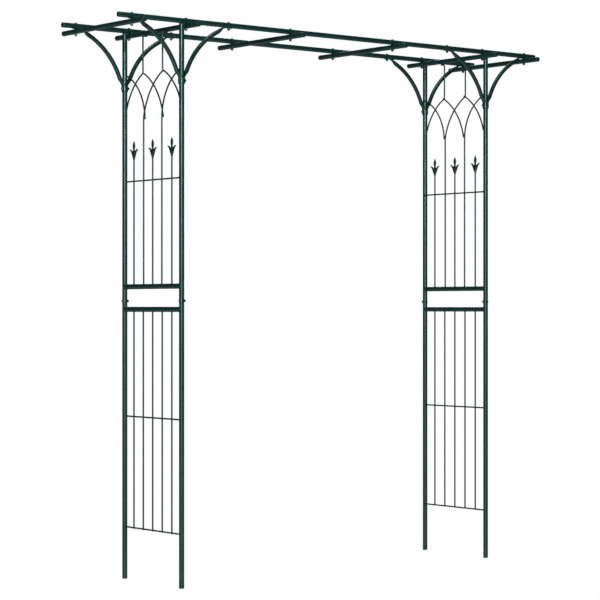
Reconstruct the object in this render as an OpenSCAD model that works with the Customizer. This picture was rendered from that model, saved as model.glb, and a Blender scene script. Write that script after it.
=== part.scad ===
// Metal trellis arch: two ladder-like side panels, two long overhead beams and six crossbars.
// Frame: +X along the beams, +Y from front to back, +Z up, origin on the ground at the centre.
// Left is -X, front is -Y. Every tube is hollow and every length is in millimetres.

/* [Overall] */
// Height from the ground to the top of the long beams
arch_h = 2040; // [1800:10:2400]
// Distance between the two side panels, centre to centre
post_span = 1498; // [1000:2:2000]
// Depth of a side panel between post centres, also the distance between the two beams
panel_depth = 362; // [280:2:600]
// Length of beam beyond the bolt in the end crossbar, with the end cap
beam_overhang = 58; // [30:1:200]
// Length of crossbar beyond the axis of each beam, with the end cap
crossbar_overhang = 82; // [40:1:200]

/* [Tubes and rods] */
// Outside diameter of posts, rails, beams and crossbars
tube_d = 19; // [16:0.5:25]
// Wall of every tube
tube_wall = 1; // [0.8:0.1:2]
// Outside diameter of the curved bracket tubes
bracket_d = 16; // [12:0.5:19]
// Diameter of the solid rods in the side panels
rod_d = 6; // [4:0.5:8]

/* [Overhead] */
// Distance of the two middle crossbars from the centre
mid_bar_x = 252; // [150:2:400]
// Distance from a post to the bolt of its outward bracket, which is also the end crossbar
outer_reach = 215; // [190:1:230]
// Distance from a post to the bolt of its inward bracket
inner_reach = 210; // [190:1:230]
// Depth of the pressed seat in a crossbar where a beam lies on it
seat_depth = 0.8; // [0.4:0.1:1.5]
// Distance from a beam splice bolt to the visible seam
beam_seam_gap = 17; // [12:1:30]
// Length of the reduced end inside a tube splice, measured from the seam
spigot_len = 50; // [40:1:80]

/* [Side panels] */
// Height of the seam between the lower and upper side sections
seam_z = 1013; // [800:1:1200]
// Distance from the seam down to the axis of the lower section's top rail
lower_rail_drop = 15; // [13:0.5:40]
// Distance from the seam up to the axis of the upper section's bottom rail
upper_rail_rise = 68.5; // [50:0.5:120]
// Distance from the seam up to the splice bolt
splice_bolt_rise = 16; // [12:1:30]
// Height of the lowest cross rod
bottom_rod_z = 192; // [100:1:300]
// Height of the middle cross rod of the lower section
lower_rod_z = 602.5; // [450:0.5:750]
// Distance from the top of the beams down to the cross rod of the upper section
upper_rod_drop = 569.5; // [500:0.5:700]
// Distance from the top of the beams down to the tips of the three spear finials
finial_drop = 420; // [380:1:480]

/* [Tracery] */
// Distance of the two branching rods from the centre of the panel
stem_y = 58; // [45:1:70]
// Distance from the top of the beams down to where the branching rods end and the arcs begin
spring_drop = 342; // [320:1:400]
// Distance of the two drop rods from the centre of the panel
drop_y = 62.5; // [50:0.5:75]
// Radius of the arcs that meet in the middle bay
inner_arc_r = 234.6; // [200:0.2:280]
// Radius of the arcs that lean out to the posts
outer_arc_r = 185; // [150:1:220]
// Height over the branching at which the outermost arcs leave the posts
post_arc_rise = 21.5; // [5:0.5:60]

/* [Brackets] */
// Radius of the bend of a bracket tube
bend_r = 278; // [240:1:300]
// Height of the foot bolt over the centre of the bend
foot_rise = 64; // [55:1:80]
// Thickness of the flattened foot that hugs the post
foot_t = 3; // [2:0.1:4]
// Thickness of the flattened tongue under the beam
tongue_t = 1.8; // [1.4:0.1:3]
// Distance from the tongue's bolt to its rounded end
tongue_end = 13; // [10:1:16]

/* [Fasteners] */
// Diameter of the bolts
bolt_d = 6; // [4:0.5:8]
// Clearance of the bolt holes over the bolt
hole_play = 0.6; // [0.2:0.1:1]
// Diameter of the domed bolt heads
head_d = 11; // [9:0.5:14]
// Height of the domed bolt heads over the tube
head_h = 3.6; // [2:0.1:5]
// Width of the nuts across their flats
nut_af = 10; // [8:0.5:13]
// Height of the nuts
nut_h = 5; // [4:0.1:8]
// Length of bolt standing out of its nut
bolt_tip = 3; // [1:0.5:6]

/* [Hidden] */

$fn = 48;
GREEN = [0.15, 0.31, 0.28];
RUBBER = [0.06, 0.09, 0.08];
ROD_GREEN = [0.13, 0.25, 0.22];
BOLT_GREEN = [0.12, 0.24, 0.21];

tube_r = tube_d / 2;
rod_r = rod_d / 2;
hole_d = bolt_d + hole_play;
post_x = post_span / 2;
post_y = panel_depth / 2;
beam_z = arch_h - tube_r;
beam_under_z = beam_z - tube_r;
bar_z = beam_z - tube_d + seat_depth;
end_bar_z = bar_z - tongue_t;
panel_bar_x = post_x - tube_d;
// Bend of the brackets: its crown lies level with the beam, so its foot follows from its radius
bend_offset = 4;
bend_crown = 0.5;
bend_x = bend_r + bend_offset;
bend_cz = beam_z + bend_crown - bend_r;
bend_top_r = bend_r + bracket_d / 2;
tongue_rise = beam_under_z - tongue_t - bend_cz;
tongue_start = bend_x - sqrt(bend_top_r * bend_top_r - tongue_rise * tongue_rise);
foot_bolt_z = bend_cz + foot_rise;
end_bar_x = post_x + outer_reach;
inner_bolt_x = post_x - inner_reach;
beam_len = 2 * (end_bar_x + beam_overhang);
crossbar_len = panel_depth + 2 * crossbar_overhang;
finial_tip_z = arch_h - finial_drop;
spring_z = arch_h - spring_drop;
upper_rod_z = arch_h - upper_rod_drop;
cap_lip = 2;
cap_plug = 10;
cap_edge = 0.8;
plug_play = 0.1;
spigot_play = 0.2;
spigot_d = tube_d - 2 * tube_wall - 2 * spigot_play;
beam_seam_x = mid_bar_x - beam_seam_gap;
lower_rail_z = seam_z - lower_rail_drop;
upper_rail_z = seam_z + upper_rail_rise;
splice_z = seam_z + splice_bolt_rise;
post_top_z = beam_under_z - cap_lip;
bar_pitch = panel_depth / 6;
cross_rod_shift = rod_d;
finial_h = 71;
finial_socket = 8;
finial_t = 6;
over = 1;

// Height of a crossbar axis by its distance from the centre
function crossbar_z(x) = abs(x) > post_x ? end_bar_z : bar_z;

// Positions of the crossing bolts along a beam
crossing_x = [-end_bar_x, -panel_bar_x, -mid_bar_x, mid_bar_x, panel_bar_x, end_bar_x];

module rod_z(d, z0, z1) {
    translate([0, 0, z0]) cylinder(d = d, h = z1 - z0);
}

module rod_y(d, y0, y1) {
    translate([0, y0, 0]) rotate([-90, 0, 0]) cylinder(d = d, h = y1 - y0);
}

module rod_x(d, x0, x1) {
    translate([x0, 0, 0]) rotate([0, 90, 0]) cylinder(d = d, h = x1 - x0);
}

// Post cylinder used to shape the ends of everything welded to a post
module post_shape(side, row) {
    translate([side * post_x, row * post_y, 0]) rod_z(tube_d, 0, arch_h);
}

module both_posts(side) {
    post_shape(side, -1);
    post_shape(side, 1);
}

module beam_shape(row, extra = 0) {
    translate([0, row * post_y, beam_z]) rod_x(tube_d + 2 * extra, -beam_len / 2, beam_len / 2);
}

// ---- side panels -----------------------------------------------------------------------

module lower_post(side, row) {
    color(GREEN)
    translate([side * post_x, row * post_y, 0])
    difference() {
        union() {
            rod_z(tube_d, cap_lip, seam_z);
            rod_z(spigot_d, seam_z - over, seam_z + spigot_len);
        }
        rod_z(spigot_d - 2 * tube_wall, seam_z - spigot_len / 2, seam_z + spigot_len + over);
        rod_z(tube_d - 2 * tube_wall, 0, seam_z - 2 * tube_wall);
        translate([0, 0, splice_z]) rod_x(hole_d, -tube_d, tube_d);
    }
}

module upper_post(side, row) {
    color(GREEN)
    translate([side * post_x, row * post_y, 0])
    difference() {
        rod_z(tube_d, seam_z, post_top_z);
        rod_z(tube_d - 2 * tube_wall, seam_z - over, post_top_z + over);
        translate([0, 0, splice_z]) rod_x(hole_d, -tube_d, tube_d);
        translate([0, 0, foot_bolt_z]) rod_x(hole_d, -tube_d, tube_d);
    }
}

module rail(side, z) {
    color(GREEN)
    difference() {
        translate([side * post_x, 0, z])
        difference() {
            rod_y(tube_d, -post_y, post_y);
            rod_y(tube_d - 2 * tube_wall, -post_y - over, post_y + over);
        }
        both_posts(side);
    }
}

// A rod across the panel, lying on the passage side of the upright bars
module cross_rod(side, z) {
    difference() {
        translate([side * (post_x - cross_rod_shift), 0, z]) rod_y(rod_d, -post_y, post_y);
        both_posts(side);
    }
}

module lower_cross_rods(side) {
    color(ROD_GREEN) {
        cross_rod(side, bottom_rod_z);
        cross_rod(side, lower_rod_z);
    }
}

module upper_cross_rod(side) {
    color(ROD_GREEN) cross_rod(side, upper_rod_z);
}

module rail_shape(side, z) {
    translate([side * post_x, 0, z]) rod_y(tube_d, -post_y, post_y);
}

module lower_bars(side) {
    color(ROD_GREEN)
    difference() {
        for (i = [-2 : 2])
            translate([side * post_x, i * bar_pitch, 0])
            rod_z(rod_d, bottom_rod_z - rod_r, lower_rail_z);
        rail_shape(side, lower_rail_z);
    }
}

module finial_bars(side) {
    color(ROD_GREEN)
    difference() {
        for (i = [-2, 0, 2])
            translate([side * post_x, i * bar_pitch, 0])
            rod_z(rod_d, upper_rail_z, finial_tip_z - finial_h + finial_socket);
        rail_shape(side, upper_rail_z);
    }
}

module tracery_stems(side) {
    color(ROD_GREEN)
    difference() {
        for (m = [-1, 1])
            translate([side * post_x, m * stem_y, 0]) rod_z(rod_d, upper_rail_z, spring_z);
        rail_shape(side, upper_rail_z);
    }
}

// Cast finial, flat in the plane of the panel, with its tip up and its foot at height 0
finial_foot_half = 4.4;
finial_neck_half = 12.5;
finial_neck_z = 22;
leaf_half = 29;
leaf_under_r = 26.6;
leaf_under_y = 36.4;
leaf_under_z = 12.6;
leaf_top_r = 20.3;
leaf_top_y = 20.5;
leaf_top_z = 20.5;
blade_r = 33;
blade_half = 8.5;
blade_mid_z = finial_h - sqrt(2 * blade_r * blade_half - blade_half * blade_half);
blade_foot_z = 34;
body_foot_d = rod_d + 3;
body_d = 12;
body_top_d = 5;
body_mid_z = 18;
body_top_z = 42;
rib_d = 8.6;
rib_tip_d = 3;
rib_tip_z = 64;

module finial_leaf() {
    intersection() {
        difference() {
            translate([leaf_top_y, leaf_top_z]) circle(r = leaf_top_r);
            translate([leaf_under_y, leaf_under_z]) circle(r = leaf_under_r);
        }
        translate([0, finial_neck_z - over]) square([leaf_half, finial_h]);
    }
}

module finial_blade() {
    intersection() {
        translate([blade_half - blade_r, blade_mid_z]) circle(r = blade_r);
        translate([blade_r - blade_half, blade_mid_z]) circle(r = blade_r);
        translate([-blade_half, blade_foot_z]) square([2 * blade_half, finial_h - blade_foot_z]);
    }
}

module finial() {
    difference() {
        union() {
            rotate([90, 0, 90])
            translate([0, 0, -finial_t / 2])
            linear_extrude(height = finial_t) {
                polygon([[-finial_foot_half, 0], [finial_foot_half, 0],
                         [finial_neck_half, finial_neck_z], [-finial_neck_half, finial_neck_z]]);
                finial_leaf();
                mirror([1, 0]) finial_leaf();
                finial_blade();
            }
            cylinder(d1 = body_foot_d, d2 = body_d, h = body_mid_z);
            translate([0, 0, body_mid_z])
            cylinder(d1 = body_d, d2 = body_top_d, h = body_top_z - body_mid_z);
            translate([0, 0, blade_foot_z])
            cylinder(d1 = body_top_d, d2 = rib_d, h = blade_mid_z - blade_foot_z);
            translate([0, 0, blade_mid_z])
            cylinder(d1 = rib_d, d2 = rib_tip_d, h = rib_tip_z - blade_mid_z);
        }
        translate([0, 0, -over]) cylinder(d = rod_d, h = finial_socket + over);
    }
}

module finials(side) {
    color(BOLT_GREEN)
    for (i = [-2, 0, 2])
        translate([side * post_x, i * bar_pitch, finial_tip_z - finial_h]) finial();
}

// ---- tracery: arcs in two layers that touch where they cross ----------------------------
// Arcs that lean to the front stand in the plane of the panel, on the ends of the stems.
// Arcs that lean to the back lie one rod further in, lapped beside the stems and drop rods.

inner_arc_drop = 43.5;
outer_arc_drop = 8.5;
post_arc_drop = 29;
lap = 5;
cope_play = 0.2;
layer_play = 0.05;
inner_arc_z = spring_z - inner_arc_drop;
inner_arc_y = sqrt(inner_arc_r * inner_arc_r - inner_arc_drop * inner_arc_drop) - stem_y;
inner_arc_run = inner_arc_y - drop_y;
apex_z = inner_arc_z + sqrt(inner_arc_r * inner_arc_r - inner_arc_run * inner_arc_run);
outer_arc_z = spring_z - outer_arc_drop;
outer_arc_y = stem_y + sqrt(outer_arc_r * outer_arc_r - outer_arc_drop * outer_arc_drop);
post_arc_z = spring_z - post_arc_drop;
// The outermost arcs pass through the apex and leave the inner face of the post
apex_rise = apex_z - post_arc_z;
leave_rise = post_arc_drop + post_arc_rise;
leave_y = post_y - tube_r;
post_arc_y = (drop_y * drop_y - leave_y * leave_y + apex_rise * apex_rise - leave_rise * leave_rise)
    / (2 * (leave_y - drop_y));
post_arc_r = sqrt((drop_y + post_arc_y) * (drop_y + post_arc_y) + apex_rise * apex_rise);

// Ring of rod parallel to the panel; lean is -1 for the plane of the panel, 1 for the inner layer
module ring(side, lean, yc, zc, r, d = rod_d) {
    translate([side * (post_x - (lean > 0 ? rod_d + layer_play : 0)), yc, zc])
    rotate([0, 90, 0])
    rotate_extrude() translate([r, 0]) circle(d = d);
}

// Box that keeps one stretch of a ring: y from a to b, upwards from the spring of its layer
module keep(side, lean, a, b) {
    z0 = spring_z - (lean > 0 ? lap : 0);
    translate([side * post_x - tube_d, min(a, b), z0]) cube([2 * tube_d, abs(b - a), arch_h - z0]);
}

// Where an arc ends at a drop rod: on its axis, or past it when the arc is lapped
function drop_end(lean) = drop_y - (lean > 0 ? rod_r : 0);

// Middle bay: springs at the stem on side m and ends at the drop rod of the other stem
module inner_arc(side, m) {
    intersection() {
        ring(side, -m, -m * inner_arc_y, inner_arc_z, inner_arc_r);
        keep(side, -m, -m * (drop_y + (m < 0 ? rod_r : 0)), m * 2 * stem_y);
    }
}

// Side bay: springs at the stem on side m and leans out to its post
module outer_arc(side, m) {
    difference() {
        intersection() {
            ring(side, m, m * outer_arc_y, outer_arc_z, outer_arc_r);
            keep(side, m, 0, m * post_y);
        }
        post_shape(side, m);
    }
}

// Side bay: rises from the post on side m and ends at the drop rod of the near stem
module post_arc(side, m) {
    difference() {
        intersection() {
            ring(side, -m, -m * post_arc_y, post_arc_z, post_arc_r);
            keep(side, -m, m * drop_end(-m), m * post_y);
        }
        post_shape(side, m);
    }
}

module tracery_arcs(side) {
    color(ROD_GREEN)
    for (m = [-1, 1]) {
        inner_arc(side, m);
        outer_arc(side, m);
        post_arc(side, m);
    }
}

// Slab that cuts a drop rod and its hook on one mitre plane at the height of the crossbar
module mitre_slab() {
    translate([0, 0, bar_z]) rotate([0, -45, 0])
    translate([-arch_h, -rod_d, -2 * arch_h]) cube([2 * arch_h, 2 * rod_d, 2 * arch_h]);
}

// Drop rod: up from the apex, then hooked over into the side of the crossbar beside the posts
module drop_rods(side) {
    color(ROD_GREEN)
    for (m = [-1, 1])
        difference() {
            translate([side * post_x, m * drop_y, 0])
            mirror([side < 0 ? 1 : 0, 0, 0]) {
                intersection() {
                    rod_z(rod_d, apex_z, bar_z + rod_r);
                    mitre_slab();
                }
                difference() {
                    translate([0, 0, bar_z]) rod_x(rod_d, -tube_d, rod_r);
                    mitre_slab();
                }
            }
            if (m > 0) ring(side, -1, -post_arc_y, post_arc_z, post_arc_r, rod_d + 2 * cope_play);
            if (m < 0) ring(side, -1, -inner_arc_y, inner_arc_z, inner_arc_r, rod_d + 2 * cope_play);
            translate([side * panel_bar_x, 0, bar_z]) rod_y(tube_d, -post_y, post_y);
        }
}

// ---- overhead ----------------------------------------------------------------------------

// Crossbar with a pressed seat and a bolt hole under each beam
module crossbar(x, seat_extra) {
    z = crossbar_z(x);
    half = crossbar_len / 2 - cap_lip;
    color(GREEN)
    difference() {
        translate([x, 0, z]) rod_y(tube_d, -half, half);
        beam_shape(-1, seat_extra);
        beam_shape(1, seat_extra);
        difference() {
            translate([x, 0, z]) rod_y(tube_d - 2 * tube_wall, -half - over, half + over);
            beam_shape(-1, seat_extra + tube_wall);
            beam_shape(1, seat_extra + tube_wall);
        }
        for (row = [-1, 1])
            translate([x, row * post_y, z]) rod_z(hole_d, -tube_d, tube_d);
    }
}

module beam_holes(row) {
    for (x = concat(crossing_x, [-inner_bolt_x, inner_bolt_x]))
        translate([x, row * post_y, beam_z]) rod_z(hole_d, -tube_d, tube_d);
}

// Outer beam section; the middle section's reduced end slides into it
module beam_outer(side, row) {
    a = beam_seam_x;
    b = beam_len / 2 - cap_lip;
    color(GREEN)
    difference() {
        translate([0, row * post_y, beam_z])
        difference() {
            rod_x(tube_d, min(side * a, side * b), max(side * a, side * b));
            rod_x(tube_d - 2 * tube_wall, min(side * a, side * b) - over, max(side * a, side * b) + over);
        }
        beam_holes(row);
    }
}

module beam_middle(row) {
    a = beam_seam_x;
    color(GREEN)
    difference() {
        translate([0, row * post_y, beam_z])
        difference() {
            union() {
                rod_x(tube_d, -a, a);
                rod_x(spigot_d, -a - spigot_len, a + spigot_len);
            }
            rod_x(spigot_d - 2 * tube_wall, -a - spigot_len - over, a + spigot_len + over);
            rod_x(tube_d - 2 * tube_wall, -a + 2 * tube_wall, a - 2 * tube_wall);
        }
        beam_holes(row);
    }
}

// ---- brackets: post axis at the origin, reaching out along +X -----------------------------

foot_below = 13;
foot_above = 14;
foot_edge = 3;
press_rise = 9;
press_lap = 8;
press_angle = 35;
tongue_edge = 4;
bore_rise = 36;
bore_back = 17;
foot_bottom_z = foot_bolt_z - foot_below;
foot_top_z = foot_bolt_z + foot_above;
foot_r = tube_r + foot_t;
press_z = foot_bolt_z + press_rise;
tongue_r = tube_r + tongue_t;
tongue_press = 12;
bore_z0 = foot_bolt_z + bore_rise;
bore_x1 = tongue_start - bore_back;

module bend_ring(d) {
    translate([bend_x, 0, bend_cz]) rotate([90, 0, 0])
    rotate_extrude() translate([bend_r, 0]) circle(d = d);
}

// Slab that keeps what lies between two heights on the post side of the bend
module bend_keep(z0, z1, x1) {
    translate([0, -bracket_d, z0]) cube([x1, 2 * bracket_d, z1 - z0]);
}

module bracket(side, row, dir, reach) {
    color(GREEN)
    translate([side * post_x, row * post_y, 0])
    mirror([dir < 0 ? 1 : 0, 0, 0])
    difference() {
        union() {
            // curved tube, pressed flat towards both ends
            difference() {
                intersection() {
                    bend_ring(bracket_d);
                    bend_keep(press_z - press_lap, beam_under_z, reach);
                }
                // slanted press mark behind the foot
                translate([foot_r, -tube_d, press_z]) rotate([0, press_angle, 0])
                translate([0, 0, -2 * tube_d]) cube([2 * tube_d, 2 * tube_d, 4 * tube_d]);
                // slanted press mark below the tongue
                translate([reach - tongue_press, -tube_d, beam_under_z - tongue_t])
                rotate([0, -press_angle, 0])
                translate([-5 * tube_d, 0, -2 * tube_d]) cube([10 * tube_d, 2 * tube_d, 2 * tube_d]);
            }
            // foot shell around the post
            intersection() {
                rod_z(2 * foot_r, foot_bottom_z, foot_top_z);
                translate([foot_edge, -tube_d, 0]) cube([tube_d, 2 * tube_d, arch_h]);
            }
            // tongue shell around the underside of the beam
            intersection() {
                translate([0, 0, beam_z]) rod_x(2 * tongue_r, tongue_start, reach + tongue_end);
                translate([0, -bracket_d / 2, beam_z - 2 * tube_d])
                cube([2 * reach, bracket_d, 2 * tube_d - tongue_edge]);
                union() {
                    translate([reach, 0, 0]) rod_z(2 * tongue_end, beam_z - 2 * tube_d, beam_z);
                    translate([0, -tube_d, beam_z - 2 * tube_d]) cube([reach, 2 * tube_d, 2 * tube_d]);
                }
            }
        }
        // the bore of the tube stops short of both pressed ends
        intersection() {
            bend_ring(bracket_d - 2 * tube_wall);
            bend_keep(bore_z0, arch_h, bore_x1);
        }
        rod_z(tube_d, 0, arch_h);
        translate([0, 0, beam_z]) rod_x(tube_d, 0, 2 * reach);
        translate([0, 0, foot_bolt_z]) rod_x(hole_d, 0, 2 * tube_d);
        translate([reach, 0, 0]) rod_z(hole_d, beam_z - 2 * tube_d, beam_z);
    }
}

// ---- fasteners ---------------------------------------------------------------------------

tip_bevel = 1;
head_flat = 0.1;
nut_seat = 2;

// Bolt along +Z: its domed head is seated at height top, its nut face is at height face
module bolt(top, face) {
    dome_h = head_h + head_flat;
    dome_r = (head_d * head_d / 4 + dome_h * dome_h) / (2 * dome_h);
    end = face - nut_h - bolt_tip;
    rod_z(bolt_d, end + tip_bevel, top + over);
    translate([0, 0, end]) cylinder(d1 = bolt_d - 2 * tip_bevel, d2 = bolt_d, h = tip_bevel);
    intersection() {
        translate([0, 0, top + dome_h - dome_r]) sphere(r = dome_r);
        rod_z(2 * head_d, top, top + head_h);
    }
}

// Hexagon nut, its face at height face
module nut(face) {
    translate([0, 0, face - nut_h])
    difference() {
        linear_extrude(height = nut_h + nut_seat)
        intersection_for(a = [0, 60, 120])
            rotate(a) square([nut_af, 3 * nut_af], center = true);
        translate([0, 0, -over]) cylinder(d = bolt_d, h = nut_h + nut_seat + 2 * over);
    }
}

module crossing_bolts() {
    color(BOLT_GREEN)
    for (row = [-1, 1])
        for (x = crossing_x)
            translate([x, row * post_y, 0]) bolt(arch_h, crossbar_z(x) - tube_r);
}

module crossing_nuts() {
    color(BOLT_GREEN)
    for (row = [-1, 1])
        for (x = crossing_x)
            difference() {
                translate([x, row * post_y, 0]) nut(crossbar_z(x) - tube_r);
                translate([x, row * post_y, crossbar_z(x)]) rod_y(tube_d, -tube_d, tube_d);
            }
}

module bracket_top_bolts() {
    color(BOLT_GREEN)
    for (row = [-1, 1])
        for (x = [-inner_bolt_x, inner_bolt_x])
            translate([x, row * post_y, 0]) bolt(arch_h, beam_under_z - tongue_t);
}

module bracket_top_nuts() {
    color(BOLT_GREEN)
    for (row = [-1, 1])
        for (x = [-inner_bolt_x, inner_bolt_x])
            difference() {
                translate([x, row * post_y, 0]) nut(beam_under_z - tongue_t);
                translate([x, row * post_y, beam_z]) rod_x(2 * tongue_r, -tube_d, tube_d);
            }
}

// Lays a bolt or nut through a post, its nut on the passage side
module through_post(side, row, z) {
    translate([side * post_x, row * post_y, z]) rotate([0, side * 90, 0]) children();
}

module bracket_foot_bolts() {
    color(BOLT_GREEN)
    for (side = [-1, 1])
        for (row = [-1, 1])
            through_post(side, row, foot_bolt_z) bolt(foot_r, -foot_r);
}

module bracket_foot_nuts() {
    color(BOLT_GREEN)
    for (side = [-1, 1])
        for (row = [-1, 1])
            through_post(side, row, foot_bolt_z)
            difference() {
                nut(-foot_r);
                rod_x(2 * foot_r, -tube_d, tube_d);
            }
}

module splice_bolts() {
    color(BOLT_GREEN)
    for (side = [-1, 1])
        for (row = [-1, 1])
            through_post(side, row, splice_z) bolt(tube_r, -tube_r);
}

module splice_nuts() {
    color(BOLT_GREEN)
    for (side = [-1, 1])
        for (row = [-1, 1])
            through_post(side, row, splice_z)
            difference() {
                nut(-tube_r);
                rod_x(tube_d, -tube_d, tube_d);
            }
}

// ---- end caps ----------------------------------------------------------------------------

// Cap with its lip from 0 to cap_lip and its plug below 0
module cap() {
    rotate_extrude()
    union() {
        translate([0, -cap_plug]) square([tube_r - tube_wall - plug_play, cap_plug + over]);
        square([tube_r, cap_lip - cap_edge]);
        square([tube_r - cap_edge, cap_lip]);
        translate([tube_r - cap_edge, cap_lip - cap_edge]) circle(r = cap_edge);
    }
}

module end_caps() {
    color(RUBBER) {
        for (row = [-1, 1])
            for (side = [-1, 1])
                translate([side * (beam_len / 2 - cap_lip), row * post_y, beam_z])
                rotate([0, side * 90, 0]) cap();
        for (x = crossing_x)
            for (row = [-1, 1])
                translate([x, row * (crossbar_len / 2 - cap_lip), crossbar_z(x)])
                rotate([-row * 90, 0, 0]) cap();
    }
}

module post_top_caps() {
    color(RUBBER)
    for (side = [-1, 1])
        for (row = [-1, 1])
            translate([side * post_x, row * post_y, post_top_z]) cap();
}

module foot_caps() {
    color(RUBBER)
    for (side = [-1, 1])
        for (row = [-1, 1])
            translate([side * post_x, row * post_y, cap_lip]) mirror([0, 0, 1]) cap();
}

lower_post(-1, -1);  // lower_post_front_left
lower_post(-1, 1);  // lower_post_back_left
lower_post(1, -1);  // lower_post_front_right
lower_post(1, 1);  // lower_post_back_right
upper_post(-1, -1);  // upper_post_front_left
upper_post(-1, 1);  // upper_post_back_left
upper_post(1, -1);  // upper_post_front_right
upper_post(1, 1);  // upper_post_back_right
rail(-1, lower_rail_z);  // lower_rail_left
rail(1, lower_rail_z);  // lower_rail_right
rail(-1, upper_rail_z);  // upper_rail_left
rail(1, upper_rail_z);  // upper_rail_right
lower_bars(-1);  // lower_bars_left
lower_bars(1);  // lower_bars_right
lower_cross_rods(-1);  // lower_cross_rods_left
lower_cross_rods(1);  // lower_cross_rods_right
upper_cross_rod(-1);  // upper_cross_rod_left
upper_cross_rod(1);  // upper_cross_rod_right
finial_bars(-1);  // finial_bars_left
finial_bars(1);  // finial_bars_right
finials(-1);  // finials_left
finials(1);  // finials_right
tracery_stems(-1);  // tracery_stems_left
tracery_stems(1);  // tracery_stems_right
tracery_arcs(-1);  // tracery_arcs_left
tracery_arcs(1);  // tracery_arcs_right
drop_rods(-1);  // drop_rods_left
drop_rods(1);  // drop_rods_right
crossbar(-end_bar_x, tongue_t);  // crossbar_left_end
crossbar(-panel_bar_x, 0);  // crossbar_left_panel
crossbar(-mid_bar_x, 0);  // crossbar_left_middle
crossbar(mid_bar_x, 0);  // crossbar_right_middle
crossbar(panel_bar_x, 0);  // crossbar_right_panel
crossbar(end_bar_x, tongue_t);  // crossbar_right_end
beam_outer(-1, -1);  // beam_front_left
beam_middle(-1);  // beam_front_middle
beam_outer(1, -1);  // beam_front_right
beam_outer(-1, 1);  // beam_back_left
beam_middle(1);  // beam_back_middle
beam_outer(1, 1);  // beam_back_right
bracket(-1, -1, -1, outer_reach);  // bracket_front_left_outer
bracket(-1, -1, 1, inner_reach);  // bracket_front_left_inner
bracket(-1, 1, -1, outer_reach);  // bracket_back_left_outer
bracket(-1, 1, 1, inner_reach);  // bracket_back_left_inner
bracket(1, -1, 1, outer_reach);  // bracket_front_right_outer
bracket(1, -1, -1, inner_reach);  // bracket_front_right_inner
bracket(1, 1, 1, outer_reach);  // bracket_back_right_outer
bracket(1, 1, -1, inner_reach);  // bracket_back_right_inner
crossing_bolts();
crossing_nuts();
bracket_top_bolts();
bracket_top_nuts();
bracket_foot_bolts();
bracket_foot_nuts();
splice_bolts();
splice_nuts();
end_caps();
post_top_caps();
foot_caps();
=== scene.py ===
# Garden trellis arch in dark green powder-coated steel: two side panels, two long beams,
# six crossbars and eight curved corner brackets. The sections follow the order of assembly.
import math

import bpy
import numpy as np
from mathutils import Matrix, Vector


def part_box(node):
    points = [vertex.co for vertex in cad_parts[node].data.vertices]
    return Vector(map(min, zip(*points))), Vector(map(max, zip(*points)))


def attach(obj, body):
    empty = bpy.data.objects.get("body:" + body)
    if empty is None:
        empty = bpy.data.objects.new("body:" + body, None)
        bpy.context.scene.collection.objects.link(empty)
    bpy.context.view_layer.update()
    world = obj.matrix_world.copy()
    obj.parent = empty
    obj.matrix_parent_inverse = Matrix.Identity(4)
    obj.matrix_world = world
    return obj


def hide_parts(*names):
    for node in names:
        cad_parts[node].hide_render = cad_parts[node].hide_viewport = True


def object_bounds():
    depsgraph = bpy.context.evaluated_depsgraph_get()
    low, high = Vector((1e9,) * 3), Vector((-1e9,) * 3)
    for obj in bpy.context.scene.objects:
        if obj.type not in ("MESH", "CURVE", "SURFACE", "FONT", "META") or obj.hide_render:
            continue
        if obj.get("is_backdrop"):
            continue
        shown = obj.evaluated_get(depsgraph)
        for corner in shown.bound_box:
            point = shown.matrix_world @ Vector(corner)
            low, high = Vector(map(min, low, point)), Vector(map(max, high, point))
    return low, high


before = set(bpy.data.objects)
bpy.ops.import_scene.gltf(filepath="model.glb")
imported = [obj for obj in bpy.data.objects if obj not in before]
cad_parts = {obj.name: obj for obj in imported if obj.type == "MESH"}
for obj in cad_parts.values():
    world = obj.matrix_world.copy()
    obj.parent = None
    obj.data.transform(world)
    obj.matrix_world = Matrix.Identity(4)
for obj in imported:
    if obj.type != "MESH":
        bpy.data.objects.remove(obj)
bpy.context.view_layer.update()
mm = 0.001

# ---- Ground and studio -------------------------------------------------------------------
# The arch stands on a plain white floor that runs out to a white horizon. A broad soft light
# beside the viewer and two weaker ones from behind and above model the tubes.


def add_area_light(name, place, target, width, watts):
    """An area light of the given width at place, turned to face target."""
    lamp = bpy.data.lights.new(name, "AREA")
    lamp.shape = "DISK"
    lamp.size = width
    lamp.energy = watts
    holder = bpy.data.objects.new(name, lamp)
    towards = np.array(target, float) - np.array(place, float)
    flat = math.hypot(towards[0], towards[1])
    holder.rotation_euler = (math.atan2(flat, -towards[2]), 0, math.atan2(towards[1], towards[0])
                             - math.pi / 2)
    holder.location = place
    bpy.context.scene.collection.objects.link(holder)
    return holder


floor_mesh = bpy.data.meshes.new("studio_floor")
reach = 60.0
floor_mesh.from_pydata([(-reach, -reach, 0), (reach, -reach, 0), (reach, reach, 0), (-reach, reach, 0)], [],
                       [(0, 1, 2, 3)])
floor = bpy.data.objects.new("studio_floor", floor_mesh)
bpy.context.scene.collection.objects.link(floor)
floor_paint = bpy.data.materials.new("studio_floor")
floor_paint.use_nodes = True
floor_tree = floor_paint.node_tree
floor_shader = floor_tree.nodes["Principled BSDF"]
floor_shader.inputs["Base Color"].default_value = (0.9, 0.9, 0.9, 1)
floor_shader.inputs["Roughness"].default_value = 0.9
floor_shader.inputs["Specular IOR Level"].default_value = 0.0
floor_seen = floor_tree.nodes.new("ShaderNodeLightPath")
floor_white = floor_tree.nodes.new("ShaderNodeEmission")
floor_mix = floor_tree.nodes.new("ShaderNodeMixShader")
floor_tree.links.new(floor_seen.outputs["Is Camera Ray"], floor_mix.inputs[0])
floor_tree.links.new(floor_shader.outputs[0], floor_mix.inputs[1])
floor_tree.links.new(floor_white.outputs[0], floor_mix.inputs[2])
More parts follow.
